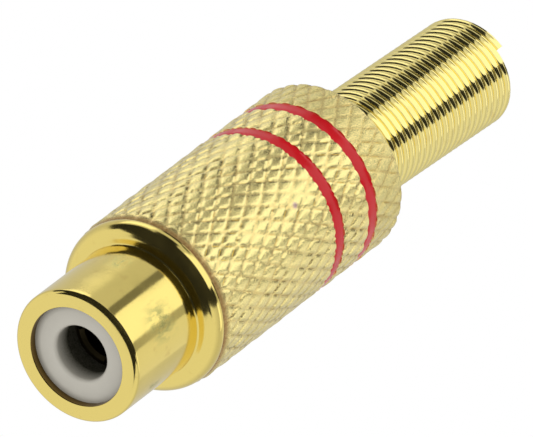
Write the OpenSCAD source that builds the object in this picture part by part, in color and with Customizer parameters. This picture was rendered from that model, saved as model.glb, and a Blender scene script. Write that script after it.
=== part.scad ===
// Inline phono socket for a cable end: a gold plated barrel with its insulated centre contact,
// a knurled screw-on shell with two colour bands, and a close-wound spring as strain relief.
// The mouth lies on z = 0 and faces down. The cable leaves at the top, along +Z.

/* [Barrel] */
// How far the barrel, which the plug's outer contact grips, lies under the shell's crests
barrel_inset = 1.29; // [1.1:0.01:1.5]
// Length of the barrel, from its mouth to the collar
barrel_l = 6.3; // [5.4:0.1:9]
// Radius of the rounded outer edge at the mouth
mouth_round = 0.25; // [0.1:0.05:0.4]
// Depth of the mouth in front of the insulator, which is the lip's thickness
lip_t = 0.45; // [0.3:0.05:1]
// How far the lip reaches in over the insulator
lip_reach = 0.25; // [0.1:0.05:0.4]

/* [Collar] */
// How far the collar's edge lies under the shell's crests
collar_inset = 0.12; // [0:0.02:0.5]
// Thickness of the collar
collar_t = 1; // [0.7:0.05:1.6]
// Radius of the collar's rounded front edge
collar_round = 0.85; // [0.2:0.05:0.9]

/* [Screw joint] */
// Wall of the spigot around the insulators
spigot_wall = 0.88; // [0.7:0.02:1]
// Length of the screwed spigot
screw_l = 5.6; // [4.8:0.1:8]
// Radial clearance between the spigot and the shell
screw_gap = 0.05; // [0.03:0.01:0.09]
// Length of the plain groove where the thread runs out at the collar
relief_l = 0.6; // [0.3:0.05:0.9]
// Depth of that groove
relief_depth = 0.22; // [0.1:0.02:0.35]
// Bevel at the spigot's free end
spigot_bevel = 0.2; // [0.05:0.05:0.3]

/* [Insulators] */
// Wall of the front insulator around the chamber for the contact's fingers
insulator_wall = 1.21; // [1:0.01:1.4]
// Radial clearance around the pin in the hole of the front insulator's face
face_hole_gap = 0.1; // [0.05:0.01:0.3]
// Radius of the softened edge of that hole
face_hole_round = 0.25; // [0.1:0.05:0.4]
// Thickness of the front insulator's face, ahead of the chamber for the contact's fingers
face_t = 1.2; // [0.8:0.1:2]
// Distance from the back of that face to the fingers' tips
tip_gap = 1.4; // [0:0.1:2]
// Room around the fingers, so that they can spring open
finger_gap = 0.12; // [0.08:0.02:0.2]
// Length of the rear insulator
rear_insulator_l = 1.6; // [1.2:0.1:2.4]

/* [Centre contact] */
// Wall of the contact's fingers, which grip the plug's pin
finger_wall = 0.42; // [0.3:0.02:0.5]
// Depth of the pin bore, from the fingers' tips
pin_bore_l = 7; // [5:0.1:7.2]
// Width of the slots between the fingers
slot_w = 0.3; // [0.2:0.05:0.5]
// Length of those slots
slot_l = 5.2; // [3:0.1:6]
// Number of fingers, two to a slot
finger_count = 4; // [4:2:6]
// Width of the rear insulator's rim around the contact's flange
flange_inset = 0.25; // [0.15:0.05:0.6]
// Thickness of the flange, which is held between the insulators
flange_t = 0.6; // [0.4:0.05:0.9]
// Diameter of the stem through the rear insulator
stem_d = 1.9; // [1.4:0.1:2.4]
// Length of the stem behind the rear insulator
stem_l = 1.3; // [0.8:0.1:2]
// Diameter of the solder cup
cup_d = 2.5; // [2.4:0.1:3]
// Length of the solder cup
cup_l = 3.6; // [2.6:0.1:4.4]
// Bore of the solder cup
cup_bore_d = 1.7; // [1.2:0.1:1.9]
// Thickness of the solder cup's floor
cup_floor = 0.6; // [0.4:0.1:1]
// Length of the side of the cup that is cut away
cup_cut_l = 2; // [1:0.1:2.4]

/* [Ground lug] */
// Thickness of the lug's sheet
lug_t = 0.4; // [0.3:0.05:0.6]
// Wall of the spigot around the lug's ring
rim_wall = 0.48; // [0.4:0.02:0.6]
// Hole in the lug's ring
lug_hole_d = 4.6; // [3.4:0.1:5]
// Thickness of the spigot's rim that is rolled over the ring
roll_t = 0.35; // [0.25:0.05:0.5]
// How far the rolled rim reaches in over the ring
roll_reach = 0.3; // [0.15:0.05:0.35]
// Radial clearance between the lug's tail and the rolled rim
tail_gap = 0.05; // [0.03:0.01:0.15]
// Width of the tail, measured as an angle in degrees
tail_angle = 56; // [40:2:70]
// Diameter of the wire hole in the tail
wire_hole_d = 1.1; // [0.8:0.1:1.4]
// Length of the tail, from the ring to the cable claw
tail_l = 4.6; // [4:0.1:5]
// Length of the cable claw
claw_l = 2.4; // [1.6:0.1:2.6]
// Angle that the claw wraps around the cable, in degrees
claw_angle = 250; // [180:10:300]

/* [Insulating sleeve] */
// Radial clearance around the sleeve in the shell
sleeve_gap = 0.1; // [0.05:0.01:0.2]
// Wall of the sleeve
sleeve_wall = 0.3; // [0.2:0.02:0.36]
// Clearance at each end of the sleeve
sleeve_end_gap = 0.05; // [0.02:0.01:0.2]

/* [Shell] */
// Diameter of the shell over the knurl's crests, from which the other diameters follow
shell_d = 10.88; // [9.6:0.02:12.4]
// Wall of the shell over its thread, up to the crests
thread_wall = 1.16; // [1:0.02:1.3]
// Wall of the shell behind its thread, up to the crests
rear_wall = 1.34; // [1.3:0.02:1.5]
// Length of the shell
shell_l = 18.9; // [17:0.1:26]
// Length of the shell's threaded bore beyond the end of the spigot
thread_run_on = 0.4; // [0.2:0.1:1]
// Thickness of the shell's end wall, which holds the spring
end_wall_t = 1; // [0.6:0.1:1.6]
// Length of the plain bevel at the shell's front
front_bevel_l = 0.5; // [0.2:0.05:1]
// Depth of that bevel
front_bevel_depth = 0.24; // [0.1:0.02:0.4]
// Bevel at the shell's rear edge
rear_bevel = 0.2; // [0.05:0.01:0.3]

/* [Knurl] */
// Width of one diamond, around the shell
knurl_w = 1; // [0.7:0.05:1.6]
// Length of one diamond, along the shell
knurl_l = 1.82; // [1.2:0.02:2.6]
// Depth of the knurl's grooves
knurl_depth = 0.2; // [0.15:0.01:0.35]
// Share of a diamond that stays flat on top
knurl_flat = 0.54; // [0.2:0.02:0.7]

/* [Colour bands] */
// Width of each band
band_w = 0.92; // [0.6:0.02:1.4]
// Length of the knurl behind the rear band
rear_land_l = 2.78; // [1.5:0.02:5]
// Distance from the front band to the rear band
band_step = 3.5; // [2:0.1:5]
// Depth of the groove that a band fills, under the crests
band_groove = 0.5; // [0.4:0.02:0.6]
// How far a band's surface lies under the crests
band_sink = 0.06; // [0.02:0.02:0.2]

/* [Spring] */
// How far the wide turn, which is held in the shell, stands out beyond the others
wide_turn_step = 0.55; // [0.4:0.01:0.8]
// Radial clearance around the wide turn in the shell
wide_turn_side_gap = 0.13; // [0.05:0.01:0.2]
// Diameter of the spring's wire
wire_d = 0.57; // [0.4:0.01:0.6]
// Gap between two turns
turn_gap = 0.016; // [0.004:0.002:0.1]
// Length of the spring outside the shell
spring_out_l = 15; // [8:0.1:20]
// Radial clearance of the spring in the shell's end hole
spring_gap = 0.06; // [0.04:0.01:0.1]
// Clearance between the wide turn and the shell's end wall
wide_turn_gap = 0.06; // [0.03:0.01:0.2]
// How far the free end stands out of line towards +X, from handling
lean = 0.5; // [0:0.02:0.6]

/* [Hidden] */
$fn = 96;
// Length by which cutters and fused bars run past the face that they meet
over = 1;

// Places along the axis, from the mouth to the rear
collar_z = barrel_l;
seat_z = collar_z + collar_t;
spigot_end_z = seat_z + screw_l;
ring_top_z = spigot_end_z - roll_t;
ring_z = ring_top_z - lug_t;
flange_z = ring_z - rear_insulator_l;
chamber_z = lip_t + face_t;
finger_z = chamber_z + tip_gap;
cup_z = ring_z + stem_l;
claw_z = ring_top_z + tail_l;
shell_end_z = seat_z + shell_l;
end_wall_z = shell_end_z - end_wall_t;
thread_end_z = spigot_end_z + thread_run_on;
rear_band_z = shell_end_z - rear_land_l - band_w;
front_band_z = rear_band_z - band_step;

// Diameters that follow from the shell's
barrel_d = shell_d - 2 * barrel_inset;
collar_d = shell_d - 2 * collar_inset;
threaded_bore_d = shell_d - 2 * thread_wall;
shell_bore_d = shell_d - 2 * rear_wall;
screw_d = threaded_bore_d - 2 * screw_gap;
core_d = screw_d - 2 * spigot_wall;
mouth_d = core_d - 2 * lip_reach;
flange_d = core_d - 2 * flange_inset;
lug_ring_d = screw_d - 2 * rim_wall;
sleeve_d = shell_bore_d - 2 * sleeve_gap;
wide_turn_d = shell_bore_d - 2 * wide_turn_side_gap;
spring_d = wide_turn_d - 2 * wide_turn_step;
chamber_d = core_d - 2 * insulator_wall;
finger_d = chamber_d - 2 * finger_gap;
pin_bore_d = finger_d - 2 * finger_wall;
face_hole_d = pin_bore_d + 2 * face_hole_gap;
roll_hole_d = lug_ring_d - 2 * roll_reach;
tail_d = roll_hole_d - 2 * tail_gap;
band_d = shell_d - 2 * band_sink;
groove_d = shell_d - 2 * band_groove;
end_hole_d = spring_d + 2 * spring_gap;

// The spring's wire: turns and the places of its centre line
turn_pitch = wire_d + turn_gap;
coil_r = (spring_d - wire_d) / 2;
wide_r = (wide_turn_d - wire_d) / 2;
// The wide turn climbs one pitch, then the wire steps in while it stays level
step_turns = 0.35;
step_z = end_wall_z - wide_turn_gap - wire_d / 2;
wide_turn_z = step_z - turn_pitch;
wire_end_z = shell_end_z + spring_out_l - wire_d / 2;
wire_turns = 1 + step_turns + (wire_end_z - step_z) / turn_pitch;
wire_steps_per_turn = 11;
wire_sides = 6;
// Share of the free length over which the lean sets in
lean_start = 0.15;

// The knurl's diamonds: rows lie half a diamond apart, every second row half a diamond round
knurl_count = round(PI * shell_d / knurl_w);
knurl_turn = 360 / knurl_count;
knurl_row = knurl_l / 2;
knurl_rows = ceil(shell_l / knurl_row) + 3;
knurl_z = seat_z - 1.5 * knurl_row;
crest_r = shell_d / 2;
root_r = crest_r - knurl_depth;

gold = "#d9b45c";
pale_gold = "#e3cb92";
enamel_red = "#c01f2b";
white = "#e9e6df";
black = "#26262a";

// A bar from z0 to z1 whose lower edge is rounded
module rounded_bar(z0, z1, d, round_r) {
    edge_r = min(round_r, 0.9 * (z1 - z0), 0.4 * d);
    translate([0, 0, z0])
        rotate_extrude()
            union() {
                translate([0, edge_r])
                    square([d / 2, z1 - z0 - edge_r]);
                square([d / 2 - edge_r, z1 - z0]);
                intersection() {
                    translate([d / 2 - edge_r, edge_r])
                        circle(r = edge_r);
                    square([d / 2, z1 - z0]);
                }
            }
}

// A plain bar from z0 to z1
module bar(z0, z1, d) {
    translate([0, 0, z0])
        cylinder(h = z1 - z0, d = d);
}

// A cone frustum from z0 to z1
module taper(z0, z1, d0, d1) {
    translate([0, 0, z0])
        cylinder(h = z1 - z0, d1 = d0, d2 = d1);
}

module tube(z0, z1, d_out, d_in) {
    difference() {
        bar(z0, z1, d_out);
        bar(z0 - over, z1 + over, d_in);
    }
}

// A wedge from the axis to outside a diameter, centred on the +Y side
module wedge(z0, z1, d, angle) {
    spread = [for (step = [0 : 6]) 90 - angle / 2 + step * angle / 6];
    translate([0, 0, z0])
        linear_extrude(height = z1 - z0)
            polygon(concat([[0, 0]], [for (a = spread) 1.5 * d * [cos(a), sin(a)]]));
}

// The turned body: barrel, collar and screwed spigot, with the rim rolled over the ground lug
module socket_body() {
    color(gold)
        difference() {
            union() {
                rounded_bar(0, collar_z + over / 4, barrel_d, mouth_round);
                rounded_bar(collar_z, seat_z, collar_d, collar_round);
                bar(collar_z + collar_t / 2, spigot_end_z - spigot_bevel, screw_d);
                taper(spigot_end_z - spigot_bevel, spigot_end_z, screw_d, screw_d - 2 * spigot_bevel);
            }
            bar(-over, lip_t + over / 10, mouth_d);
            bar(lip_t, ring_z + lug_t / 2, core_d);
            bar(ring_z, ring_top_z, lug_ring_d);
            bar(ring_top_z - lug_t / 2, spigot_end_z + over, roll_hole_d);
            tube(seat_z, seat_z + relief_l, screw_d + over, screw_d - 2 * relief_depth);
        }
}

// The insulator that shows in the mouth, with a stepped bore for the contact's fingers
module front_insulator() {
    color(white)
        difference() {
            bar(lip_t, flange_z, core_d);
            bar(lip_t - over, flange_z + over, face_hole_d);
            bar(chamber_z, flange_z + over, chamber_d);
            translate([0, 0, lip_t])
                rotate_extrude()
                    difference() {
                        translate([0, -over])
                            square([face_hole_d / 2 + face_hole_round, face_hole_round + over]);
                        translate([face_hole_d / 2 + face_hole_round, face_hole_round])
                            circle(r = face_hole_round);
                    }
        }
}

// The insulator behind the contact's flange, with a pocket for that flange
module rear_insulator() {
    color(white)
        difference() {
            bar(flange_z, ring_z, core_d);
            bar(flange_z - over, flange_z + flange_t, flange_d);
            bar(flange_z, ring_z + over, stem_d);
        }
}

// The slotted tube that grips the plug's pin, its flange, stem and solder cup
module centre_contact() {
    color(pale_gold)
        difference() {
            union() {
                bar(finger_z, flange_z + flange_t / 2, finger_d);
                bar(flange_z, flange_z + flange_t, flange_d);
                bar(flange_z + flange_t / 2, cup_z + cup_floor / 2, stem_d);
                bar(cup_z, cup_z + cup_l, cup_d);
            }
            bar(finger_z - over, finger_z + pin_bore_l, pin_bore_d);
            taper(finger_z - finger_wall / 2, finger_z + finger_wall / 2,
                pin_bore_d + 2 * finger_wall, pin_bore_d);
            for (slot = [0 : finger_count / 2 - 1])
                rotate([0, 0, 45 + slot * 360 / finger_count])
                    translate([-finger_d, -slot_w / 2, finger_z - over])
                        cube([2 * finger_d, slot_w, slot_l + over]);
            bar(cup_z + cup_floor, cup_z + cup_l + over, cup_bore_d);
            translate([-cup_d, 0, cup_z + cup_l - cup_cut_l])
                cube([2 * cup_d, cup_d, cup_cut_l + over]);
        }
}

// The stamped ring under the rolled rim, its tail with the wire hole, and the cable claw
module ground_lug() {
    color(pale_gold)
        difference() {
            union() {
                tube(ring_z, ring_top_z, lug_ring_d, lug_hole_d);
                tube(ring_z + lug_t / 2, claw_z + claw_l, tail_d, tail_d - 2 * lug_t);
            }
            wedge(ring_top_z, claw_z, tail_d, 360 - tail_angle);
            wedge(claw_z - over / 10, claw_z + claw_l + over, tail_d, 360 - claw_angle);
            translate([0, 0, ring_top_z + tail_l / 2])
                rotate([90, 0, 0])
                    cylinder(h = tail_d, d = wire_hole_d);
        }
}

module insulating_sleeve() {
    color(black)
        tube(spigot_end_z + sleeve_end_gap, wide_turn_z - wire_d / 2 - sleeve_end_gap,
            sleeve_d, sleeve_d - 2 * sleeve_wall);
}

// A point on the shell's surface: radius, angle in degrees and height
function on_shell(r, angle, z) = [r * cos(angle), r * sin(angle), z];

// Radius of the diamonds' tops at a height: the crests, less the bevel at either end of the shell
function bevelled_r(z) =
    min(crest_r,
        crest_r - front_bevel_depth * (1 - (z - seat_z) / front_bevel_l),
        crest_r - rear_bevel + (shell_end_z - z));

// Angle of diamond k in row i
function diamond_angle(i, k) = (k + (i % 2) / 2) * knurl_turn;

// A bar covered in raised diamonds with flat tops, longer than the shell at both ends.
// Grooves of both hands cross at the corners, and each diamond has four flanks and a flat.
module knurled_bar() {
    corners = [for (i = [0 : knurl_rows], k = [0 : knurl_count - 1])
        on_shell(root_r, diamond_angle(i, k) + knurl_turn / 2, knurl_z + i * knurl_row)];
    flats = [for (i = [1 : knurl_rows - 1], k = [0 : knurl_count - 1], side = [0 : 3])
        let (z = knurl_z + (i - cos(90 * side) * knurl_flat) * knurl_row)
        on_shell(bevelled_r(z), diamond_angle(i, k) + sin(90 * side) * knurl_flat * knurl_turn / 2, z)];
    poles = [[0, 0, knurl_z - knurl_row], [0, 0, knurl_z + (knurl_rows + 1) * knurl_row]];
    flat_start = len(corners);
    pole_start = flat_start + len(flats);
    polyhedron(
        points = concat(corners, flats, poles),
        faces = concat(
            [for (i = [1 : knurl_rows - 1], k = [0 : knurl_count - 1], side = [0 : 3])
                let (
                    ring = diamond_corners(i, k),
                    top = flat_start + 4 * ((i - 1) * knurl_count + k),
                    next = (side + 1) % 4
                )
                each [
                    [ring[side], top + side, ring[next]],
                    [ring[next], top + side, top + next]
                ]],
            [for (i = [1 : knurl_rows - 1], k = [0 : knurl_count - 1])
                let (top = flat_start + 4 * ((i - 1) * knurl_count + k))
                each [[top, top + 3, top + 1], [top + 1, top + 3, top + 2]]],
            [for (k = [0 : knurl_count - 1])
                let (ring = diamond_corners(1, k))
                each [[ring[0], ring[1], pole_start], [ring[3], ring[0], pole_start]]],
            [for (k = [0 : knurl_count - 1])
                let (ring = diamond_corners(knurl_rows - 1, k))
                each [[ring[1], ring[2], pole_start + 1], [ring[2], ring[3], pole_start + 1]]]
        ),
        convexity = 4
    );
}

// Indices of a diamond's corners: below, to the left, above and to the right
function corner_index(i, k) = i * knurl_count + (k + knurl_count) % knurl_count;
function diamond_corners(i, k) =
    let (shift = i % 2)
    [corner_index(i - 1, k - 1 + shift), corner_index(i, k),
        corner_index(i + 1, k - 1 + shift), corner_index(i, k - 1)];

// The shell's ends, band grooves, threaded bore, plain bore and end hole, around the knurl
module shell_envelope() {
    difference() {
        bar(seat_z, shell_end_z, shell_d + over);
        tube(front_band_z, front_band_z + band_w, shell_d + 2 * over, groove_d);
        tube(rear_band_z, rear_band_z + band_w, shell_d + 2 * over, groove_d);
        bar(seat_z - over, thread_end_z, threaded_bore_d);
        bar(seat_z, end_wall_z, shell_bore_d);
        bar(seat_z, shell_end_z + over, end_hole_d);
    }
}

module shell() {
    color(pale_gold)
        intersection() {
            knurled_bar();
            shell_envelope();
        }
}

module band(z0) {
    tube(z0, z0 + band_w, band_d, groove_d);
}

module front_band() {
    color(enamel_red)
        band(front_band_z);
}

module rear_band() {
    color(enamel_red)
        band(rear_band_z);
}

// Radius and height of the wire's centre after a number of turns
function wire_radius(t) =
    t < 1 ? wide_r
    : t < 1 + step_turns ? wide_r + (coil_r - wide_r) * (t - 1) / step_turns
    : coil_r;
function wire_height(t) =
    t < 1 ? wide_turn_z + t * turn_pitch
    : t < 1 + step_turns ? step_z
    : step_z + (t - 1 - step_turns) * turn_pitch;

// Sideways offset of the turns at a height: none in the shell, then nearly a straight slope
function lean_offset(z) =
    let (t = max(0, (z - shell_end_z) / spring_out_l))
    lean * t * t * (1 + lean_start) / (t + lean_start);

// The wire is swept along its turns with a ring of points at each step
module strain_relief_spring() {
    steps = round(wire_turns * wire_steps_per_turn);
    rings = [for (s = [0 : steps], side = [0 : wire_sides - 1])
        let (
            t = s * wire_turns / steps,
            a = 360 * side / wire_sides,
            r = wire_radius(t) + wire_d / 2 * cos(a)
        )
        [lean_offset(wire_height(t)) + r * cos(360 * t), r * sin(360 * t),
            wire_height(t) + wire_d / 2 * sin(a)]];
    color(gold)
        polyhedron(
            points = rings,
            faces = concat(
                [[for (side = [0 : wire_sides - 1]) side]],
                [for (s = [0 : steps - 1], side = [0 : wire_sides - 1])
                    let (
                        here = s * wire_sides,
                        there = here + wire_sides,
                        next = (side + 1) % wire_sides
                    )
                    each [
                        [here + side, there + side, here + next],
                        [here + next, there + side, there + next]
                    ]],
                [[for (side = [wire_sides - 1 : -1 : 0]) steps * wire_sides + side]]
            ),
            convexity = 10
        );
}

socket_body();
front_insulator();
rear_insulator();
centre_contact();
ground_lug();
insulating_sleeve();
shell();
front_band();
rear_band();
strain_relief_spring();
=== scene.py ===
"""Looks of the inline phono socket: plated pieces, knurl, colour bands, spring and plain stage.

The packed solids are the frame. The pieces made here are surfaces that keep the solids' forms.
"""

import math

import bmesh
import bpy
import numpy as np
from bpy.props import FloatProperty, FloatVectorProperty, IntProperty, PointerProperty
from mathutils import Matrix, Vector


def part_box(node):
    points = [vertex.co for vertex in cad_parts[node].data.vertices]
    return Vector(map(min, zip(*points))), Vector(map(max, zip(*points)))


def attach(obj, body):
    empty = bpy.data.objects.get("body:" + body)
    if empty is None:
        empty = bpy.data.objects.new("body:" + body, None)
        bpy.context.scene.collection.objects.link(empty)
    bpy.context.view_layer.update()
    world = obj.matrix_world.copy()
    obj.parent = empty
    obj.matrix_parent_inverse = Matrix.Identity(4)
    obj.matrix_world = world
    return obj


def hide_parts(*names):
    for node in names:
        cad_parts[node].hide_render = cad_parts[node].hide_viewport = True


bl_info = {
    "name": "Inline Phono Socket",
    "version": (1, 0, 0),
    "blender": (4, 5, 0),
    "location": "View3D > Sidebar > Phono Socket",
    "description": "Builds a gold plated inline socket with a knurled shell and a spring",
    "category": "Add Mesh",
}

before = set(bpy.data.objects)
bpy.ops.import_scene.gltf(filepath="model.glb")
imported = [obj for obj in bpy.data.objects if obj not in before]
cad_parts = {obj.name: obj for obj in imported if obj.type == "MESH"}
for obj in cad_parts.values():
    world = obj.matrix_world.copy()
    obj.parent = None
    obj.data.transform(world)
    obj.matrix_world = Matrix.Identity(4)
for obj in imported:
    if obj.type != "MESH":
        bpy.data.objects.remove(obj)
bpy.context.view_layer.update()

MM = 0.001
FULL_TURN = 2 * math.pi
SHELL_Z0, SHELL_Z1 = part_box("shell")[0].z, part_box("shell")[1].z
BODY_Z1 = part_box("socket_body")[1].z
SPRING_Z1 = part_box("strain_relief_spring")[1].z
SHELL_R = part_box("shell")[1].y
COLLAR_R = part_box("socket_body")[1].x
BAND_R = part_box("front_band")[1].x
CORE_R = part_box("front_insulator")[1].x
LIP_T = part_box("front_insulator")[0].z

PHOTO_W, PHOTO_H = 533, 437
# The axis at this height lies at this place in the picture
MIDDLE_Z = 20 * MM
MIDDLE_PX = (266.6, 212.2)

# The packed wire is six-sided, so its top is this share of its radius above the centre line
PACKED_WIRE_TOP = math.cos(math.radians(30))
# Spacing of the points along a thread
THREAD_STEP = 0.045 * MM
# Distance under which two points of the knurl are one
WELD = 0.0002 * MM
# Edges across half a diamond, from the groove's bottom at 0 towards the flat's middle at 0.5
HALF_STEPS = np.array([0.0, 0.16, 0.27, 0.33, 0.41])

# Smears on the barrel: place and reach, in millimetres
SMEARS = (((1.3, -3.9, 3.2), 1.5), ((-2.9, -3.0, 4.4), 0.9), ((4.0, -1.2, 2.2), 0.7))
# The small purplish spot on the knurl
SPOT_PLACE = np.array([0.7 * MM, -5.4 * MM, 16.5 * MM])
SPOT_SIZE = 0.17 * MM

# Colours of the smears, the painted shade inside the lip and the brown seam at the shell, the
# shell's front edge, the spot, and painted shade on plastic
SMEAR_TONE = (0.5, 0.47, 0.16)
LIP_SHADE_AND_SEAM_TONE = (0.16, 0.09, 0.03)
EDGE_TONE = (0.30, 0.135, 0.03)
SPOT_TONE = (0.42, 0.26, 0.38)
PAINTED_SHADE_TONE = (0.035, 0.032, 0.016)

# Heights of the cards in millimetres: a lower one hides what is over it
PANEL_Z, FLAG_Z, WALL_Z = 150, 149, 148
# Brightness of a dark card
DARK = 0.02


def length(name, description, default):
    """A length property in metres."""
    return FloatProperty(
        name=name, description=description, default=default, unit="LENGTH", precision=5
    )


def angle(name, description, degrees):
    """An angle property."""
    return FloatProperty(
        name=name, description=description, default=math.radians(degrees), subtype="ANGLE"
    )


def number(name, description, default):
    """A property without a unit."""
    return FloatProperty(name=name, description=description, default=default)


def share(name, description, default):
    """A property that is a share between none and all."""
    return FloatProperty(
        name=name, description=description, default=default, min=0, max=1, subtype="FACTOR"
    )


def colour(name, description, default):
    """A colour property."""
    return FloatVectorProperty(
        name=name, description=description, default=default, subtype="COLOR", size=3, min=0, max=1
    )


class PhonoBodySizes(bpy.types.PropertyGroup):
    """Sizes of the turned body, its thread and its insulator."""

    barrel_r: length("Barrel radius", "Radius of the barrel", 4.15 * MM)
    barrel_z: length("Barrel end", "Height at which the barrel meets the collar", 6.3 * MM)
    mouth_round: length("Mouth rounding", "Radius of the mouth's outer edge", 0.26 * MM)
    mouth_r: length("Mouth radius", "Radius of the opening in the lip", 3.1 * MM)
    collar_round: length("Collar rounding", "Radius of the collar's front edge", 0.85 * MM)
    spigot_r: length("Spigot radius", "Radius of the screwed spigot at mid thread", 4.23 * MM)
    relief_r: length("Relief radius", "Radius of the groove behind the collar", 4.01 * MM)
    relief_l: length("Relief length", "Length of the groove behind the collar", 0.6 * MM)
    ring_r: length("Lug ring radius", "Radius of the ring under the rolled rim", 3.75 * MM)
    ring_t: length("Lug thickness", "Thickness of the ring under the rolled rim", 0.4 * MM)
    roll_t: length("Rim thickness", "Thickness of the rolled rim", 0.35 * MM)
    roll_r: length("Rim opening", "Radius inside the rolled rim", 3.45 * MM)
    thread_pitch: length("Thread pitch", "Rise of the thread in one turn", 0.75 * MM)
    thread_depth: length("Thread depth", "Depth of the thread from crest to root", 0.36 * MM)
    thread_gap: length("Thread gap", "Radial gap between the two threads", 0.05 * MM)
    face_r: length("Face", "Radius of the clean part of the insulator's face", 2.7 * MM)
    hole_r: length("Pin hole", "Radius of the hole in the insulator's face", 1.7 * MM)
    hole_round: length("Pin hole rounding", "Radius of that hole's edge", 0.25 * MM)
    chamber_z: length("Chamber front", "Height where the room round the fingers starts", 1.65 * MM)
    chamber_r: length("Finger chamber", "Radius of the room round the fingers", 2.14 * MM)


class PhonoShellSizes(bpy.types.PropertyGroup):
    """Sizes of the knurled shell and its bands."""

    diamonds: IntProperty(
        name="Diamonds", description="Diamonds round the shell", default=34, min=12, max=80
    )
    diamond_l: length("Diamond length", "Length of a diamond along the shell", 1.82 * MM)
    groove_depth: length("Groove depth", "Depth of the knurl's grooves", 0.12 * MM)
    flat: share("Flat share", "Share of a diamond that stays flat on top", 0.66)
    tilt: length("Uneven pressing", "How far single diamonds stand out of true", 0.022 * MM)
    bevel_l: length("Bevel length", "Length of the plain bevel at the front", 0.5 * MM)
    bevel_depth: length("Bevel depth", "Depth of the plain bevel at the front", 0.24 * MM)
    rear_bevel: length("Rear bevel", "Bevel at the rear edge", 0.2 * MM)
    groove_r: length("Band groove radius", "Radius of the bottom of the band grooves", 4.94 * MM)
    bore_r: length("Bore", "Radius of the plain bore", 4.1 * MM)
    thread_z: length("Thread end", "Height at which the shell's thread ends", 13.3 * MM)
    end_wall_t: length("End wall", "Thickness of the end wall", 1 * MM)
    end_hole_r: length("End hole", "Radius of the hole for the spring", 3.48 * MM)
    band_creep: length("Band creep", "How far the enamel runs into the knurl's grooves", 0.02 * MM)


class PhonoSpringSizes(bpy.types.PropertyGroup):
    """Sizes of the strain relief spring."""

    radius: length("Coil radius", "Radius of the wire's centre line", 3.135 * MM)
    wide_radius: length("Wide turn", "Radius of the turn held in the shell", 3.685 * MM)
    wire_r: length("Wire radius", "Radius of the wire", 0.285 * MM)
    pitch: length("Pitch", "Rise in one turn", 0.586 * MM)
    step_z: length("Step height", "Height at which the wire steps in", 24.855 * MM)
    step_turns: number("Step", "Turns over which the wire steps in", 0.35)
    lean: length("Lean", "How far the free end stands out of line", 0.5 * MM)
    lean_start: share("Lean start", "Share of the free length over which the lean sets in", 0.15)


class PhonoFinishes(bpy.types.PropertyGroup):
    """Colours of the finishes."""

    body_gold: colour("Body gold", "Plating of the barrel and collar", (0.90, 0.725, 0.22))
    shell_gold: colour("Shell gold", "Plating of the knurled shell", (0.97, 0.83, 0.345))
    spring_gold: colour("Spring gold", "Plating of the spring", (0.96, 0.82, 0.31))
    contact_gold: colour("Contact gold", "Plating of the contact and the lug", (0.90, 0.72, 0.36))
    tarnish: colour("Tarnish", "Brown tone in grooves and at edges", (0.58, 0.34, 0.09))
    enamel: colour("Enamel", "Red of the two bands", (0.60, 0.010, 0.016))
    insulator: colour("Insulator", "Moulded insulators", (0.60, 0.57, 0.49))
    sleeve: colour("Sleeve", "Tube inside the shell", (0.012, 0.012, 0.014))


class PhonoStage(bpy.types.PropertyGroup):
    """Camera and light."""

    axis_tilt: angle("Axis tilt", "Angle between the part's axis and the line of sight", 42.93)
    axis_roll: angle("Axis roll", "Angle of the axis above the picture's horizontal", 37.29)
    lens: number("Lens", "Focal length in millimetres", 1250.0)
    pixels_per_mm: number("Scale", "Picture pixels in one millimetre", 17.33)
    surround: number("Surround", "Brightness of the surrounding light", 0.62)


GROUPS = {
    "phono_body": PhonoBodySizes,
    "phono_shell": PhonoShellSizes,
    "phono_spring": PhonoSpringSizes,
    "phono_finishes": PhonoFinishes,
    "phono_stage": PhonoStage,
}


# Surfaces

def grid_faces(rows, columns, wrap_rows=True):
    """Quads of a grid of points, joined round along each row and, if asked, from last to first."""
    i = np.arange(rows if wrap_rows else rows - 1)
    i, j = np.meshgrid(i, np.arange(columns), indexing="ij")
    i1, j1 = (i + 1) % rows, (j + 1) % columns
    corners = [i * columns + j, i1 * columns + j, i1 * columns + j1, i * columns + j1]
    return np.stack(corners, axis=-1).reshape(-1, 4)


def new_object(name, data):
    """An object in the scene."""
    made = bpy.data.objects.new(name, data)
    bpy.context.scene.collection.objects.link(made)
    return made


def make_piece(name, points, faces, body, replaced, material, crease=35):
    """Puts points and faces into a smooth mesh object that stands for the replaced nodes."""
    mesh = bpy.data.meshes.new(name)
    mesh.from_pydata(points.tolist(), [], faces.tolist())
    return finish_piece(name, mesh, body, replaced, material, crease)


def finish_piece(name, mesh, body, replaced, material, crease):
    """Shades a mesh, keeps its sharp edges and ties its object to the frame."""
    mesh.validate()
    mesh.shade_smooth()
    mesh.set_sharp_from_angle(angle=math.radians(crease))
    mesh.materials.append(material)
    piece = new_object(name, mesh)
    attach(piece, body)
    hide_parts(*replaced)
    return piece


def store(mesh, name, values):
    """Stores one value for each vertex, for the material to read."""
    layer = mesh.attributes.new(name, "FLOAT", "POINT")
    layer.data.foreach_set("value", values.astype(np.float32))


def vertex_points(mesh):
    """The places of a mesh's vertices."""
    points = np.empty(3 * len(mesh.vertices))
    mesh.vertices.foreach_get("co", points)
    return points.reshape(-1, 3)


def dress_node(node, material):
    """Gives a packed node a finish."""
    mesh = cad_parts[node].data
    mesh.materials.clear()
    mesh.materials.append(material)


def arc(centre_r, centre_z, radius, start, end, steps):
    """Points (r, z) on a round corner, from one angle in degrees to another."""
    turn = np.radians(np.linspace(start, end, steps))
    return np.stack([centre_r + radius * np.cos(turn), centre_z + radius * np.sin(turn)], axis=-1)


def section(*stretches):
    """Joins single points and arcs into one closed outline of (r, z), anticlockwise."""
    return np.concatenate([np.atleast_2d(stretch) for stretch in stretches]).astype(float)


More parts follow.
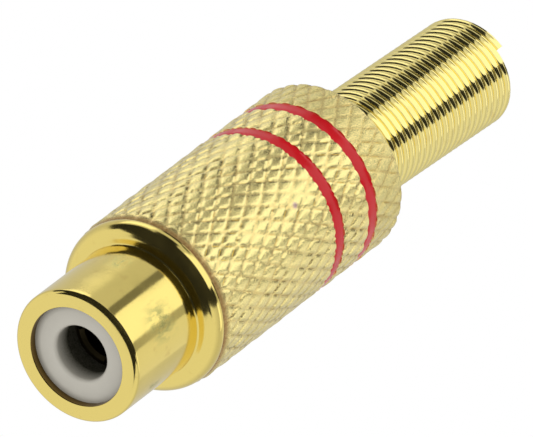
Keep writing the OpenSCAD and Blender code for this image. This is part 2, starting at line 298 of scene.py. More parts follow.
def turned(outline, segments, ridge=None):
    """Carries an outline round the axis: x = r cos t, y = r sin t, with ridge(t, z) added to r."""
    turn = np.linspace(0, FULL_TURN, segments, endpoint=False)[:, None]
    r = np.broadcast_to(outline[:, 0], (segments, len(outline)))
    z = np.broadcast_to(outline[:, 1], (segments, len(outline)))
    if ridge is not None:
        r = r + ridge(turn, outline)
    points = np.stack([r * np.cos(turn), r * np.sin(turn), z], axis=-1)
    return points.reshape(-1, 3), grid_faces(segments, len(outline))


def thread_wave(turn, z, pitch):
    """A ridge that climbs one pitch in a turn: -1 in the root and 1 on the crest."""
    steepness = 2.6
    phase = np.abs(((z / pitch - turn / FULL_TURN) % 1.0) * 2 - 1)
    return np.clip((phase - 0.5) * steepness, -1, 1)


def stretch_along(r, z0, z1, spacing):
    """Evenly spaced points (r, z) on a straight wall between two heights."""
    z = np.linspace(z0, z1, max(2, int(abs(z1 - z0) / spacing) + 1))
    return np.stack([np.full(len(z), r), z], axis=-1)


# Materials

class Flow:
    """A socket's value. Arithmetic on it adds Math nodes."""

    def __init__(self, graph, socket):
        self.graph = graph
        self.socket = socket

    def _math(self, operation, first, second):
        return self.graph.node("ShaderNodeMath", {"operation": operation}, {0: first, 1: second})

    def __add__(self, other):
        return self._math("ADD", self, other)

    def __radd__(self, other):
        return self._math("ADD", other, self)

    def __sub__(self, other):
        return self._math("SUBTRACT", self, other)

    def __rsub__(self, other):
        return self._math("SUBTRACT", other, self)

    def __mul__(self, other):
        return self._math("MULTIPLY", self, other)

    def __rmul__(self, other):
        return self._math("MULTIPLY", other, self)


class Graph:
    """The nodes of one material or world."""

    def __init__(self, tree):
        self.tree = tree
        tree.nodes.clear()

    def node(self, kind, settings=None, inputs=None, output=0):
        """Adds a node, its settings first, then its sockets' values or links. Gives one output."""
        made = self.tree.nodes.new(kind)
        for key, value in (settings or {}).items():
            if key == "stops":
                self._set_stops(made.color_ramp, value)
            else:
                setattr(made, key, value)
        for key, value in (inputs or {}).items():
            if isinstance(value, Flow):
                self.tree.links.new(value.socket, made.inputs[key])
            else:
                made.inputs[key].default_value = value
        return Flow(self, made.outputs[output]) if len(made.outputs) else None

    @staticmethod
    def _set_stops(ramp, stops):
        while len(ramp.elements) < len(stops):
            ramp.elements.new(0.5)
        for element, (position, tone) in zip(ramp.elements, stops):
            element.position = position
            element.color = (tone, tone, tone, 1)

    def place(self, scale=(1, 1, 1)):
        """Object coordinates, stretched."""
        where = self.node("ShaderNodeTexCoord", output="Object")
        return self.node("ShaderNodeMapping", {}, {"Vector": where, "Scale": scale})

    def noise(self, vector, size, detail=3.0, roughness=0.5):
        """Soft noise whose spots measure about size metres."""
        inputs = {"Vector": vector, "Scale": 1 / size, "Detail": detail, "Roughness": roughness}
        return self.node("ShaderNodeTexNoise", {}, inputs)

    def ramp(self, value, *stops):
        """A value remapped through grey stops."""
        return self.node("ShaderNodeValToRGB", {"stops": stops}, {"Fac": value})

    def blend(self, factor, first, second):
        """A colour between two colours."""
        inputs = {0: factor, 6: rgba(first), 7: rgba(second)}
        return self.node("ShaderNodeMix", {"data_type": "RGBA"}, inputs, output=2)

    def attribute(self, name):
        """A value stored on the mesh."""
        return self.node("ShaderNodeAttribute", {"attribute_name": name}, {}, output="Fac")

    def bump(self, height, strength, depth):
        """A normal from a height, where depth is in metres."""
        inputs = {"Height": height, "Strength": strength, "Distance": depth}
        return self.node("ShaderNodeBump", {}, inputs)

    def end(self, shader, kind="ShaderNodeOutputMaterial"):
        """Links a shader to the output."""
        self.node(kind, {}, {"Surface": shader})

    def surface(self, inputs):
        """Ends the material in the Principled shader."""
        self.end(self.node("ShaderNodeBsdfPrincipled", {}, inputs))


def rgba(tone):
    """A colour with its alpha, or a link as it is."""
    return tone if isinstance(tone, Flow) else (*tone, 1.0)


def darker(tone, part):
    """A colour times a share."""
    return tuple(part * value for value in tone)


def new_material(name):
    """An empty node material and its graph."""
    material = bpy.data.materials.new(name)
    material.use_nodes = True
    return material, Graph(material.node_tree)


def polished_gold(name, gold, tarnish, roughness):
    """Bright plating with turning lines, haze, a little tarnish and what the mesh stores.

    The mesh stores greenish smears, painted shade inside the lip and a brown seam against the
    shell.
    """
    material, graph = new_material(name)
    holes = graph.noise(graph.place((1, 1, 0.4)), size=0.3 * MM)
    smear = graph.attribute("smear") * graph.ramp(holes, (0.4, 1), (0.6, 0))
    haze = graph.noise(graph.place(), size=2.4 * MM)
    cloud = graph.noise(graph.place(), size=0.8 * MM, detail=4.0)
    lines = graph.noise(graph.place((1, 1, 24)), size=1.2 * MM, roughness=0.6)
    stain = graph.ramp(cloud, (0.62, 0.0), (0.8, 0.35))
    tone = graph.blend(smear, graph.blend(stain, gold, tarnish), SMEAR_TONE)
    # Painted shade inside the lip, and the brown seam where the collar meets the shell
    tone = graph.blend(graph.attribute("aged"), tone, LIP_SHADE_AND_SEAM_TONE)
    hazy = graph.ramp(haze, (0.45, 0.0), (0.75, 0.09))
    graph.surface({
        "Base Color": tone,
        "Metallic": 1.0,
        "Roughness": roughness + hazy + lines * 0.03 + smear * 0.2,
        "Normal": graph.bump(lines, strength=0.05, depth=0.02 * MM),
    })
    return material


def knurled_gold(name, gold, tarnish):
    """Pale plating with fine grain, browner in the grooves with painted shade and tarnish, and
    dirty where the mesh stores it.

    The mesh stores the grooves, the brown front edge, the rougher end and the purplish spot.
    """
    material, graph = new_material(name)
    valley, edge, rough, spot = map(graph.attribute, ("valley", "edge", "rough", "spot"))
    grain = graph.noise(graph.place(), size=0.11 * MM, roughness=0.6)
    patch = graph.noise(graph.place(), size=1.6 * MM)
    speck = graph.ramp(grain, (0.3, 0.5), (0.55, 0.0))
    # Painted shade with brown tarnish down the grooves, and fine specks
    dirt = valley * graph.ramp(patch, (0.3, 0.1), (0.7, 0.45)) + speck * 0.15
    # Brown, less metallic on the front bevel, broken by the grain
    edge_brown = edge * graph.ramp(grain, (0.35, 1.0), (0.65, 0.7))
    tone = graph.blend(edge_brown, graph.blend(dirt, gold, tarnish), EDGE_TONE)
    tone = graph.blend(spot * 0.8, tone, SPOT_TONE)
    graph.surface({
        "Base Color": tone,
        "Metallic": 1 - edge_brown * 0.85,
        "Roughness": 0.14 + grain * 0.16 + edge * 0.1,
        "Normal": graph.bump(grain * (0.6 + rough * 1.4), strength=1.0, depth=0.035 * MM),
    })
    return material


def enamel_finish(name, red):
    """Thick glossy enamel with a slightly wavy surface."""
    material, graph = new_material(name)
    wave = graph.noise(graph.place(), size=0.9 * MM, detail=2.0)
    deep = graph.noise(graph.place(), size=2.2 * MM, detail=2.0)
    graph.surface({
        "Base Color": graph.blend(graph.ramp(deep, (0.35, 0.0), (0.7, 0.3)), red, darker(red, 0.7)),
        "Roughness": 0.09 + wave * 0.08,
        "Specular IOR Level": 0.26,
        "Normal": graph.bump(wave, strength=0.12, depth=0.05 * MM),
    })
    return material


def moulded_plastic(name, base, roughness=0.32):
    """Moulded plastic with a fine grain, a soft tone and painted shade where the mesh stores some.
    """
    material, graph = new_material(name)
    grain = graph.noise(graph.place(), size=0.12 * MM)
    cloud = graph.noise(graph.place(), size=1.8 * MM)
    # Painted shade where the mesh stores it, broken a little by the grain
    dirt = graph.attribute("dirt") * graph.ramp(grain, (0.3, 1.0), (0.7, 0.85))
    tone = graph.blend(graph.ramp(cloud, (0.4, 0.0), (0.75, 0.3)), base, darker(base, 0.8))
    graph.surface({
        "Base Color": graph.blend(dirt, tone, PAINTED_SHADE_TONE),
        "Roughness": roughness + grain * 0.12,
        "Normal": graph.bump(grain, strength=0.08, depth=0.01 * MM),
    })
    return material


def wire_gold(name, gold, tarnish):
    """Drawn wire under bright plating, with lines along the wire."""
    material, graph = new_material(name)
    along = graph.noise(graph.place((1, 1, 6)), size=0.25 * MM, roughness=0.6)
    cloud = graph.noise(graph.place(), size=1.1 * MM)
    graph.surface({
        "Base Color": graph.blend(graph.ramp(cloud, (0.6, 0.0), (0.85, 0.3)), gold, tarnish),
        "Metallic": 1.0,
        "Roughness": 0.06 + along * 0.06,
        "Normal": graph.bump(along, strength=0.04, depth=0.01 * MM),
    })
    return material


# Pieces

def body_outline(size):
    """The turned body's section, anticlockwise from the mouth's inner edge."""
    edge = 0.06 * MM
    soft = size.collar_round
    collar_z, seat_z, end_z = size.barrel_z, SHELL_Z0, BODY_Z1
    ring_top = end_z - size.roll_t
    ring_z = ring_top - size.ring_t
    rim = size.roll_t / 2
    return section(
        arc(size.mouth_r + edge, edge, edge, 180, 270, 5),
        arc(size.barrel_r - size.mouth_round, size.mouth_round, size.mouth_round, 270, 360, 14),
        stretch_along(size.barrel_r, 2 * size.mouth_round, collar_z - 3 * edge, 0.5 * MM),
        arc(size.barrel_r + 2 * edge, collar_z - 2 * edge, 2 * edge, 180, 90, 6),
        arc(COLLAR_R - soft, collar_z + soft, soft, 270, 360, 22),
        arc(COLLAR_R - edge / 2, seat_z - edge / 2, edge / 2, 0, 90, 4),
        [size.relief_r, seat_z],
        [size.relief_r, seat_z + size.relief_l],
        stretch_along(size.spigot_r, seat_z + size.relief_l, end_z - 0.25 * MM, THREAD_STEP),
        arc(size.spigot_r - 1.2 * rim, end_z - rim, rim, 0, 90, 6),
        arc(size.roll_r + rim, end_z - rim, rim, 90, 180, 6),
        [size.roll_r, ring_top],
        [size.ring_r, ring_top],
        [size.ring_r, ring_z],
        [CORE_R, ring_z],
        [CORE_R, LIP_T],
        [size.mouth_r, LIP_T],
    )


def body_marks(size, points):
    """How smeared and how dark each point is: smears on the barrel, and two brown edges.

    The edges are the inside of the lip, whose brown is painted shade, and, half as brown, the
    collar's back against the shell.
    """
    x, y, z = points.T
    r = np.hypot(x, y)
    blobs = [1 - np.linalg.norm(points / MM - place, axis=1) / reach for place, reach in SMEARS]
    # Painted shade on the lip's inner wall
    in_lip = (r < size.mouth_r + 0.03 * MM) & (z < 0.6 * MM)
    at_shell = np.abs(z - SHELL_Z0) < 0.05 * MM
    return np.clip(np.maximum.reduce(blobs) * 1.5, 0, 0.9), 0.9 * in_lip + 0.5 * at_shell


def thread_ridge(size, z0, z1):
    """Ridge of a thread between two heights, fading out at both ends."""
    fade_l = 0.3 * MM

    def ridge(turn, outline):
        r, z = outline[:, 0], outline[:, 1]
        fade = np.clip((z - z0) / fade_l, 0, 1) * np.clip((z1 - z) / fade_l, 0, 1)
        on_thread = (np.abs(r - size.spigot_r) < 2 * size.thread_gap) & (z > z0) & (z < z1)
        return thread_wave(turn, z, size.thread_pitch) * size.thread_depth / 2 * fade * on_thread

    return ridge


def insulator_outline(size, top_z):
    """The front insulator's section: a soft-edged hole, and a wider chamber behind it."""
    soft = size.hole_round
    edge = 0.05 * MM
    return section(
        [size.face_r, LIP_T],
        arc(CORE_R - edge, LIP_T + edge, edge, 270, 360, 4),
        [CORE_R, top_z],
        [size.chamber_r, top_z],
        [size.chamber_r, size.chamber_z],
        [size.hole_r, size.chamber_z],
        arc(size.hole_r + soft, LIP_T + soft, soft, 180, 270, 10),
    )


def insulator_shade(size, points):
    """How much painted shade each point gets: shade down the pin hole, and the lip's painted shadow
    round the face, more on one side.
    """
    x, y, z = points.T
    r = np.hypot(x, y)
    # Painted shade, darker deeper down the pin hole
    in_hole = np.clip((z - LIP_T) / MM, 0, 1) * (r < size.chamber_r + 0.01 * MM)
    # Painted shadow of the lip round the face, stronger on one side
    one_side = 0.5 + 0.5 * (0.69 * y - 0.72 * x) / r
    round_face = 0.75 * one_side * np.clip((r - size.face_r) / (0.5 * MM), 0, 1)
    return np.maximum(in_hole, round_face)


def knurl_start(size):
    """Height from which the rows of diamonds are counted."""
    return SHELL_Z0 - 1.5 * size.diamond_l / 2


def knurl_coordinates(size, turn, z):
    """Places across the two groove families, in diamonds, with whole numbers on the flats."""
    round_it = turn * size.diamonds / FULL_TURN
    along = (z - knurl_start(size)) / size.diamond_l
    return round_it + along, round_it - along


def groove(place, flat):
    """Depth across one groove family, from none on a flat to 1 in the groove, with a shoulder."""
    softness = 1.15
    off = np.abs(place - np.round(place))
    return np.clip((off - flat / 2) / (0.5 - flat / 2), 0, 1) ** softness


def scatter(i, j, seed):
    """An even spread between -1 and 1 that follows whole numbers alone, by the usual sine hash."""
    return 2 * np.modf(np.abs(np.sin(i * 12.9898 + j * 78.233 + seed) * 43758.5453))[0] - 1


def knurl_radius(size, turn, z):
    """Radius of the knurled surface, and how deep in a groove each point lies.

    It is the crest radius, less the deeper of the two groove depths (a little more or less round
    each diamond), less each diamond's crown, small tilt and sinking, and never more than the end
    bevels.
    """
    tilt, sinking, crown = 1.6, 0.5, 6
    mean_wear, wear_spread = 0.85, 0.3
    u, v = knurl_coordinates(size, turn, z)
    depth = np.maximum(groove(u, size.flat), groove(v, size.flat))
    cell_u, cell_v = np.round(u), np.round(v)
    off_u, off_v = u - cell_u, v - cell_v
    ring, place = cell_u - cell_v, (cell_u + cell_v) % (2 * size.diamonds)
    uneven = (
        tilt * (scatter(ring, place, 0.3) * off_u + scatter(ring, place, 1.7) * off_v)
        + sinking * (scatter(ring, place, 2.9) - 1)
        - crown * (off_u ** 2 + off_v ** 2)
    )
    worn = mean_wear + wear_spread * scatter(ring, place, 4.1)
    r = SHELL_R - size.groove_depth * depth * worn + size.tilt * uneven * (1 - depth)
    front = SHELL_R - size.bevel_depth * (1 - (z - SHELL_Z0) / size.bevel_l)
    rear = SHELL_R - size.rear_bevel + (SHELL_Z1 - z)
    return np.minimum(r, np.minimum(front, rear)), depth


def knurled_surface(size, z0, z1):
    """Points, quads and groove depths of the knurl between two heights.

    The points lie on lines across both groove families, so every groove and shoulder is an edge:
    turn = (u + v) pi / N and z = start + (u - v) diamond / 2. Points past an end are moved onto
    it, and quads that lie wholly past an end are left out.
    """
    steps = np.concatenate([HALF_STEPS, [0.5], 1 - HALF_STEPS[:0:-1]])
    per_cell = len(steps)
    row = size.diamond_l / 2
    start_z = knurl_start(size)
    first = math.floor((z0 - start_z) / row) - 2
    last = math.ceil((z1 - start_z) / row) + 2

    def across(index):
        return index // per_cell - 0.5 + steps[index % per_cell]

    # Line a of one family crosses line a - m of the other
    a = np.arange(size.diamonds * per_cell)
    m = np.arange(first * per_cell, last * per_cell + 1)
    a, m = np.meshgrid(a, m, indexing="ij")
    u, v = across(a), across(a - m)
    turn = (u + v) / 2 * FULL_TURN / size.diamonds
    raw_z = start_z + (u - v) * row
    z = np.clip(raw_z, z0, z1)
    r, depth = knurl_radius(size, turn, z)
    points = np.stack([r * np.cos(turn), r * np.sin(turn), z], axis=-1).reshape(-1, 3)

    rows, columns = a.shape
    i, j = np.meshgrid(np.arange(rows), np.arange(1, columns - 1), indexing="ij")
    i1 = (i + 1) % rows
    corners = [i * columns + j - 1, i1 * columns + j, i1 * columns + j + 1, i * columns + j]
    quads = np.stack(corners, axis=-1).reshape(-1, 4)
    quad_z = raw_z.reshape(-1)[quads]
    inside = (quad_z.max(axis=1) > z0 + WELD / 2) & (quad_z.min(axis=1) < z1 - WELD / 2)
    used, quads = np.unique(quads[inside], return_inverse=True)
    return points[used], quads.reshape(-1, 4), depth.reshape(-1)[used]


def knurled_ring(size, z0, z1, inner_r):
    """A closed ring's mesh: the knurl, welded, with its ends turned in to a radius and joined."""
    points, quads, depth = knurled_surface(size, z0, z1)
    mesh = bpy.data.meshes.new("knurled_ring")
    mesh.from_pydata(points.tolist(), [], quads.tolist())
    store(mesh, "valley", depth)
    work = bmesh.new()
    work.from_mesh(mesh)
    bmesh.ops.remove_doubles(work, verts=work.verts, dist=WELD)
    bmesh.ops.dissolve_degenerate(work, edges=work.edges, dist=WELD)
    work.to_mesh(mesh)
    work.clear()

    # The points are numbered anew, so those that the extrusion adds come last
    work.from_mesh(mesh)
    outer = len(work.verts)
    bmesh.ops.extrude_edge_only(work, edges=[edge for edge in work.edges if edge.is_boundary])
    work.to_mesh(mesh)
    work.clear()
    places = vertex_points(mesh)
    inner = places[outer:, :2]
    inner *= inner_r / np.linalg.norm(inner, axis=1, keepdims=True)
    mesh.vertices.foreach_set("co", places.ravel())

    work.from_mesh(mesh)
    bmesh.ops.bridge_loops(work, edges=[edge for edge in work.edges if edge.is_boundary])
    bmesh.ops.recalc_face_normals(work, faces=work.faces)
    work.to_mesh(mesh)
    work.free()
    return mesh


def shell_core_outline(shell, body):
    """Section under the knurl: groove bottoms, threaded bore, plain bore and end hole."""
    shy = 0.002 * MM
    bevel, entry = 0.06 * MM, 0.1 * MM
    z0, z1 = SHELL_Z0 + shy, SHELL_Z1 - shy
    wall_z = SHELL_Z1 - shell.end_wall_t
    bore = body.spigot_r + body.thread_gap
    return section(
        [bore + entry, z0],
        [shell.groove_r, z0],
        [shell.groove_r, z1],
        [shell.end_hole_r + bevel, z1],
        [shell.end_hole_r, z1 - bevel],
        [shell.end_hole_r, wall_z],
        [shell.bore_r, wall_z],
        [shell.bore_r, shell.thread_z],
        stretch_along(bore, shell.thread_z, z0 + entry, THREAD_STEP),
    )


def shell_marks(size, rear_z, points):
    """How brown, rough or spotted each point is.

    The bevel is brown in front and clean behind, the knurl is rougher past the rear band, and the
    spot fades out round its middle.
    """
    z = points[:, 2]
    from_spot = np.linalg.norm(points - SPOT_PLACE, axis=1)
    return {
        "edge": np.clip(1.7 * (1 - (z - SHELL_Z0) / size.bevel_l), 0, 1),
        "rough": np.clip(0.5 + (z - rear_z) / (0.8 * MM), 0, 1),
        "spot": np.clip(1.6 - from_spot / SPOT_SIZE, 0, 1),
    }


def build_shell(shell, body, material):
    """The knurled shell: three knurled rings between the band grooves, on one bored core."""
    front_z0, front_z1 = (corner.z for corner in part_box("front_band"))
    rear_z0, rear_z1 = (corner.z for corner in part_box("rear_band"))
    inner_r = shell.groove_r - 0.04 * MM
    spans = ((SHELL_Z0, front_z0), (front_z1, rear_z0), (rear_z1, SHELL_Z1))
    parts = [knurled_ring(shell, z0, z1, inner_r) for z0, z1 in spans]
    ridge = thread_ridge(body, SHELL_Z0 - 0.3 * MM, shell.thread_z)
    points, faces = turned(shell_core_outline(shell, body), segments=160, ridge=ridge)
    core = bpy.data.meshes.new("shell_core")
    core.from_pydata(points.tolist(), [], faces.tolist())
    work = bmesh.new()
    work.verts.layers.float.new("valley")
    for part in (*parts, core):
        work.from_mesh(part)
        bpy.data.meshes.remove(part)
    mesh = bpy.data.meshes.new("knurled_shell")
    work.to_mesh(mesh)
    work.free()

    for name, values in shell_marks(shell, rear_z1, vertex_points(mesh)).items():
        store(mesh, name, values)
    return finish_piece("knurled_shell", mesh, "shell", ["shell"], material, 50)


def band_outline(shell, z0, z1):
    """Section of a band: crowned on top, with edges that run a little way over the knurl."""
    creep = shell.band_creep
    inner_r, side_r = shell.groove_r - 0.03 * MM, BAND_R - 0.14 * MM
    across = np.linspace(0, 1, 13)
    crown = BAND_R - 0.03 * MM * (2 * across - 1) ** 4
    return section(
        [inner_r, z0 - creep],
        [side_r, z0 - creep],
        np.stack([crown, z0 + across * (z1 - z0)], axis=-1),
        [side_r, z1 + creep],
        [inner_r, z1 + creep],
    )


def spring_path(size):
    """Centre line of the wire: a wide turn, a step inwards, then close turns to the free end."""
    per_turn = 48
    end_z = SPRING_Z1 - size.wire_r * PACKED_WIRE_TOP
    rise = (end_z - size.step_z) / size.pitch
    turns = 1 + size.step_turns + rise
    t = np.linspace(0, turns, int(turns * per_turn) + 1)
    stepped = np.clip((t - 1) / size.step_turns, 0, 1)
    stepped = stepped * stepped * (3 - 2 * stepped)
    r = size.wide_radius + (size.radius - size.wide_radius) * stepped
    climbing = np.minimum(t, 1) - 1 + np.maximum(t - 1 - size.step_turns, 0)
    z = size.step_z + climbing * size.pitch
    out = np.maximum(0, (z - SHELL_Z1) / (SPRING_Z1 - SHELL_Z1))
    lean = size.lean * out * out * (1 + size.lean_start) / (out + size.lean_start)
    return t * FULL_TURN, r, z, lean


def build_spring(size, material):
    """The wire swept round its turns: each ring of points lies in a plane along the axis."""
    sides = 16
    turn, r, z, lean = (values[:, None] for values in spring_path(size))
    around = np.linspace(0, FULL_TURN, sides, endpoint=False)[None, :]
    reach = r + size.wire_r * np.cos(around)
    height = z + size.wire_r * np.sin(around)
    points = np.stack([lean + reach * np.cos(turn), reach * np.sin(turn), height], axis=-1)
    rows = points.shape[0]
    faces = grid_faces(rows, sides, wrap_rows=False)[:, ::-1].tolist()
    caps = [list(range(sides)), list(range(rows * sides - 1, (rows - 1) * sides - 1, -1))]
    mesh = bpy.data.meshes.new("relief_spring")
    mesh.from_pydata(points.reshape(-1, 3).tolist(), [], faces + caps)
    return finish_piece(
        "relief_spring", mesh, "shell", ["strain_relief_spring"], material, 60
    )


# Stage

def view_axes(stage):
    """The camera's right, up and line of sight, with the part's axis along +Z."""
    tilt, roll = stage.axis_tilt, stage.axis_roll
    sight = Vector((0, math.sin(tilt), math.cos(tilt)))
    along = Vector((0, -math.cos(tilt), math.sin(tilt)))
    side = Vector((-1, 0, 0))
    right = along * math.cos(roll) - side * math.sin(roll)
    up = along * math.sin(roll) + side * math.cos(roll)
    return right, up, sight


def make_camera(stage):
    """A long lens that looks into the mouth, with the part's middle at its place in the picture."""
    right, up, sight = view_axes(stage)
    data = bpy.data.cameras.new("camera")
    data.sensor_width = 36.0
    data.lens = stage.lens
    camera = new_object("camera", data)
    bpy.context.scene.camera = camera
    scale = stage.pixels_per_mm / MM
    distance = stage.lens / data.sensor_width * PHOTO_W / scale
    aim = Vector((0, 0, MIDDLE_Z))
    aim += right * (PHOTO_W / 2 - MIDDLE_PX[0]) / scale
    aim += up * (MIDDLE_PX[1] - PHOTO_H / 2) / scale
    turn = Matrix((right, up, -sight)).transposed().to_4x4()
    camera.matrix_world = Matrix.Translation(aim - sight * distance) @ turn
    data.clip_start = distance * 0.2
    data.clip_end = distance * 4


def level(z, *places):
    """Corners (x, y, z) at one height, from places (x, y)."""
    return [(x, y, z) for x, y in places]


def make_card(name, corners, faces, brightness, lights=True):
    """A card of flat faces, in millimetres, that the camera doesn't see.

    Reflections show it. Where lights is false, only they do, and it neither lights nor darkens
    what isn't glossy.
    """
    mesh = bpy.data.meshes.new(name)
    mesh.from_pydata([[MM * value for value in corner] for corner in corners], [], faces)
    material, graph = new_material(name)
    glow = {"Color": (1, 1, 1, 1), "Strength": brightness}
    graph.end(graph.node("ShaderNodeEmission", {}, glow))
    mesh.materials.append(material)
    card = new_object(name, mesh)
    card.visible_camera = False
    card.visible_shadow = False
    card.visible_diffuse = lights


def make_floor():
    """A pale floor under the mouth, seen from above alone, so that the camera looks through it."""
    half, drop = 400 * MM, 0.02 * MM
    mesh = bpy.data.meshes.new("floor")
    corners = [(-half, -half), (half, -half), (half, half), (-half, half)]
    mesh.from_pydata(level(-drop, *corners), [], [[0, 1, 2, 3]])
    material, graph = new_material("floor_paper")
    paper = graph.node("ShaderNodeBsdfDiffuse", {}, {"Color": (0.86, 0.86, 0.86, 1)})
    clear = graph.node("ShaderNodeBsdfTransparent")
    below = graph.node("ShaderNodeNewGeometry", output="Backfacing")
    graph.end(graph.node("ShaderNodeMixShader", {}, {0: below, 1: paper, 2: clear}))
    mesh.materials.append(material)
    floor = new_object("floor", mesh)
    floor.visible_diffuse = floor.visible_glossy = floor.visible_shadow = False


def make_world(stage):
    """An even pale surround, a little brighter below, and white behind the part."""
    world = bpy.data.worlds.new("surround")
    bpy.context.scene.world = world
    world.use_nodes = True
    graph = Graph(world.node_tree)
    seen = graph.node("ShaderNodeLightPath", output="Is Camera Ray")
    way = graph.node("ShaderNodeTexCoord", output="Generated")
    height = graph.node("ShaderNodeSeparateXYZ", {}, {"Vector": way}, output="Z")
    above, below = stage.surround, stage.surround * 1.35
    tone = graph.ramp(height * 0.5 + 0.5, (0.0, below), (0.35, below), (0.62, above))
    lit = graph.node("ShaderNodeBackground", {}, {"Color": tone, "Strength": 1.0})
    white = graph.node("ShaderNodeBackground", {}, {"Color": (1, 1, 1, 1), "Strength": 1.0})
    both = graph.node("ShaderNodeMixShader", {}, {0: seen, 1: lit, 2: white})
    graph.end(both, "ShaderNodeOutputWorld")


def make_ceiling():
    """A bright panel over the part and, under it, the dark flags that the barrel reflects."""
    corners = level(
        PANEL_Z, (-26, 45), (-24, 3), (-61, -91), (-13, -124), (-42, -129), (-36, -174),
        (116, -160), (78, -110), (52, -97), (22, -2), (20, 45),
    )
    corners += level(60, (-57, -174), (90, -160)) + level(-120, (-57, -174), (90, -160))
    faces = [
        [0, 1, 9, 10], [1, 2, 8, 9], [2, 3, 7, 8], [3, 4, 5, 6, 7], [5, 11, 12, 6],
        [11, 13, 14, 12],
    ]
    make_card("panel", corners, faces, brightness=1.2)
    corners = level(
        FLAG_Z, (-24, 3), (-61, -91), (-13, -124), (-70, -113), (-110, -58), (-99, -44), (-38, 28)
    )
    make_card("left_flag", corners, [[0, 1, 5, 6], [1, 2, 3, 4, 5]], DARK, lights=False)
    corners = level(FLAG_Z, (-13, -124), (-40, -130), (-44, -174), (-84, -162), (-70, -113))
    make_card("left_gap", corners, [[0, 1, 2, 3, 4]], brightness=0.2, lights=False)
    corners = level(FLAG_Z, (22, -2), (54, -99), (91, -67), (34, 15))
    make_card("right_flag", corners, [[0, 3, 2, 1]], DARK, lights=False)
    corners = level(FLAG_Z, (73, -109), (78, -110), (120, -155), (150, -124), (101, -83))
    make_card("right_gap", corners, [[0, 4, 3, 2, 1]], brightness=0.4, lights=False)


def make_walls():
    """Bright cards farther out, which the shell and the spring reflect beside the flags."""
    corners = level(
        WALL_Z, (54, -99), (73, -109), (101, -83), (91, -67), (114, 22), (131, 20), (96, 66),
        (108, 76),
    )
    faces = [[0, 1, 2, 3], [3, 2, 5, 4], [4, 5, 7, 6]]
    make_card("right_wall", corners, faces, brightness=1.05)
    corners = level(PANEL_Z, (101, -83), (131, 20), (180, 20), (150, -124))
    make_card("far_wall", corners, [[0, 1, 2, 3]], brightness=0.8)
    corners = level(
        WALL_Z, (-109, -36), (-126, -41), (-131, 18), (-114, 16), (-108, 76), (-94, 66)
    )
    make_card("left_wall", corners, [[0, 1, 2, 3], [3, 2, 4, 5]], brightness=1.15)
    corners = [
        (-148, 26, 66), (-134, -68, 66), (-134, -68, 145), (-148, 26, 145),
        (111, -100, 72), (147, -31, 72), (147, -31, 122), (111, -100, 122),
    ]
    make_card("side_lights", corners, [[0, 1, 2, 3], [4, 5, 6, 7]], brightness=1.3)


def make_dark_cards():
    """Dark cards round the view, low down, and a small dark mat close to the mouth."""
    corners = [
        (-140, 40, 38), (-130, -75, 38), (-126, -82, 80), (-72, -131, 80), (-66, -135, -200),
        (-126, -82, -200), (-130, -75, -50), (-140, 40, -50),
        (72, -131, 120), (112, -100, 120), (108, -104, -200), (63, -136, -200),
    ]
    faces = [[0, 1, 6, 7], [2, 3, 4, 5], [8, 9, 10, 11]]
    make_card("side_flags", corners, faces, DARK, lights=False)
    corners = level(8, (-14, -8), (-7, -14.4), (4, -15.5), (9.6, -12.8))
    corners += level(-8, (-14, -8), (-7, -14.4), (4, -15.5), (9.6, -12.8), (5, 3), (-9, 3))
    corners += [
        (-16, -1, 2), (-16, -1, -8), (13, -9.4, -1), (13, -9.4, -8), (-14, -8, 2), (9.6, -12.8, -1)
    ]
    faces = [
        [0, 1, 5, 4], [1, 2, 6, 5], [2, 3, 7, 6], [4, 5, 6, 7, 8, 9], [10, 14, 4, 11],
        [15, 12, 13, 7], [4, 9, 11], [7, 13, 8],
    ]
    make_card("mouth_mat", corners, faces, DARK, lights=False)


# Operators

class PieceOperator:
    """What the piece operators share: reading the settings and undo."""

    bl_options = {"REGISTER", "UNDO"}

    @staticmethod
    def settings(context):
        """The scene's settings for the body, the shell, the spring and the finishes."""
        scene = context.scene
        return scene.phono_body, scene.phono_shell, scene.phono_spring, scene.phono_finishes


class PHONO_OT_body(PieceOperator, bpy.types.Operator):
    """Build the turned body with its thread"""

    bl_idname = "phono.body"
    bl_label = "Body"

    def execute(self, context):
        body, _, _, finish = self.settings(context)
        tarnish = finish.tarnish[:]
        gold = polished_gold("body_gold", finish.body_gold[:], tarnish, roughness=0.085)
        ridge = thread_ridge(body, SHELL_Z0 + body.relief_l - 0.1 * MM, BODY_Z1 - 0.2 * MM)
        points, faces = turned(body_outline(body), segments=288, ridge=ridge)
        piece = make_piece(
            "turned_body", points, faces, "socket", ["socket_body"], gold
        )
        smear, aged = body_marks(body, points)
        store(piece.data, "smear", smear)
        store(piece.data, "aged", aged)
        return {"FINISHED"}


class PHONO_OT_insulators(PieceOperator, bpy.types.Operator):
    """Build the front insulator and finish the rear one"""

    bl_idname = "phono.insulators"
    bl_label = "Insulators"

    def execute(self, context):
        body, _, _, finish = self.settings(context)
        plastic = moulded_plastic("insulator_plastic", finish.insulator[:])
        top_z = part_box("front_insulator")[1].z
        points, faces = turned(insulator_outline(body, top_z), segments=192)
        piece = make_piece(
            "mouth_insulator", points, faces, "socket",
            ["front_insulator"], plastic,
        )
        # Painted shade down the pin hole and the lip's painted shadow on the face
        store(piece.data, "dirt", insulator_shade(body, points))
        dress_node("rear_insulator", plastic)
        return {"FINISHED"}


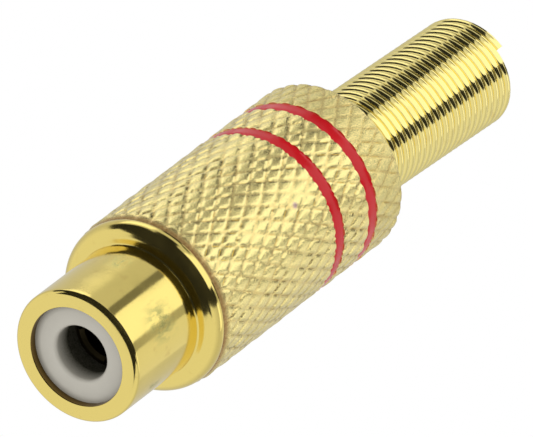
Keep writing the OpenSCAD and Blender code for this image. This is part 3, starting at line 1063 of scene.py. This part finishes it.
class PHONO_OT_contacts(PieceOperator, bpy.types.Operator):
    """Finish the centre contact, rough and painted dark as the shade down the pin hole, and the
    ground lug
    """

    bl_idname = "phono.contacts"
    bl_label = "Contact and lug"

    def execute(self, context):
        finish = self.settings(context)[3]
        gold, tarnish = finish.contact_gold[:], finish.tarnish[:]
        # The contact's gold is painted much darker, as the shade down the pin hole
        shade_dark_gold = polished_gold("shade_dark_contact", darker(gold, 0.12), tarnish, roughness=0.3)
        dress_node("centre_contact", shade_dark_gold)
        dress_node("ground_lug", polished_gold("lug_gold", gold, tarnish, roughness=0.16))
        return {"FINISHED"}


class PHONO_OT_sleeve(PieceOperator, bpy.types.Operator):
    """Finish the insulating sleeve"""

    bl_idname = "phono.sleeve"
    bl_label = "Sleeve"

    def execute(self, context):
        finish = self.settings(context)[3]
        plastic = moulded_plastic("sleeve_plastic", finish.sleeve[:], roughness=0.38)
        dress_node("insulating_sleeve", plastic)
        return {"FINISHED"}


class PHONO_OT_shell(PieceOperator, bpy.types.Operator):
    """Build the knurled shell"""

    bl_idname = "phono.shell"
    bl_label = "Shell"

    def execute(self, context):
        body, shell, _, finish = self.settings(context)
        gold = knurled_gold("shell_gold", finish.shell_gold[:], finish.tarnish[:])
        build_shell(shell, body, gold)
        return {"FINISHED"}


class PHONO_OT_bands(PieceOperator, bpy.types.Operator):
    """Build the two enamel bands"""

    bl_idname = "phono.bands"
    bl_label = "Bands"

    def execute(self, context):
        _, shell, _, finish = self.settings(context)
        red = enamel_finish("band_enamel", finish.enamel[:])
        for node in ("front_band", "rear_band"):
            low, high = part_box(node)
            points, faces = turned(band_outline(shell, low.z, high.z), segments=320)
            name = node.replace("band", "enamel")
            make_piece(name, points, faces, "shell", [node], red)
        return {"FINISHED"}


class PHONO_OT_spring(PieceOperator, bpy.types.Operator):
    """Build the strain relief spring"""

    bl_idname = "phono.spring"
    bl_label = "Spring"

    def execute(self, context):
        _, _, spring, finish = self.settings(context)
        build_spring(spring, wire_gold("spring_gold", finish.spring_gold[:], finish.tarnish[:]))
        return {"FINISHED"}


class PHONO_OT_stage(bpy.types.Operator):
    """Set up the camera, the floor and the light"""

    bl_idname = "phono.stage"
    bl_label = "Stage"

    def execute(self, context):
        stage = context.scene.phono_stage
        context.scene.view_settings.view_transform = "Standard"
        make_camera(stage)
        make_floor()
        make_world(stage)
        make_ceiling()
        make_walls()
        make_dark_cards()
        return {"FINISHED"}


class PHONO_PT_panel(bpy.types.Panel):
    """Lists the operators and the settings"""

    bl_label = "Phono Socket"
    bl_idname = "PHONO_PT_panel"
    bl_space_type = "VIEW_3D"
    bl_region_type = "UI"
    bl_category = "Phono Socket"

    def draw(self, context):
        for operator in OPERATORS:
            self.layout.operator(operator.bl_idname)
        for name, group in GROUPS.items():
            box = self.layout.box()
            box.label(text=group.__doc__)
            for prop in group.__annotations__:
                box.prop(getattr(context.scene, name), prop)


OPERATORS = (
    PHONO_OT_body,
    PHONO_OT_insulators,
    PHONO_OT_contacts,
    PHONO_OT_sleeve,
    PHONO_OT_shell,
    PHONO_OT_bands,
    PHONO_OT_spring,
    PHONO_OT_stage,
)


def register():
    """Registers the classes and puts the settings on the scene."""
    for cls in (*GROUPS.values(), *OPERATORS, PHONO_PT_panel):
        bpy.utils.register_class(cls)
    for name, group in GROUPS.items():
        setattr(bpy.types.Scene, name, PointerProperty(type=group))


def unregister():
    """Takes the settings and the classes away again."""
    for name in GROUPS:
        delattr(bpy.types.Scene, name)
    for cls in reversed((*GROUPS.values(), *OPERATORS, PHONO_PT_panel)):
        bpy.utils.unregister_class(cls)


def main():
    """Builds every piece and the stage."""
    register()
    bpy.ops.phono.body()
    bpy.ops.phono.insulators()
    bpy.ops.phono.contacts()
    bpy.ops.phono.sleeve()
    bpy.ops.phono.shell()
    bpy.ops.phono.bands()
    bpy.ops.phono.spring()
    bpy.ops.phono.stage()


if __name__ == "__main__":
    main()
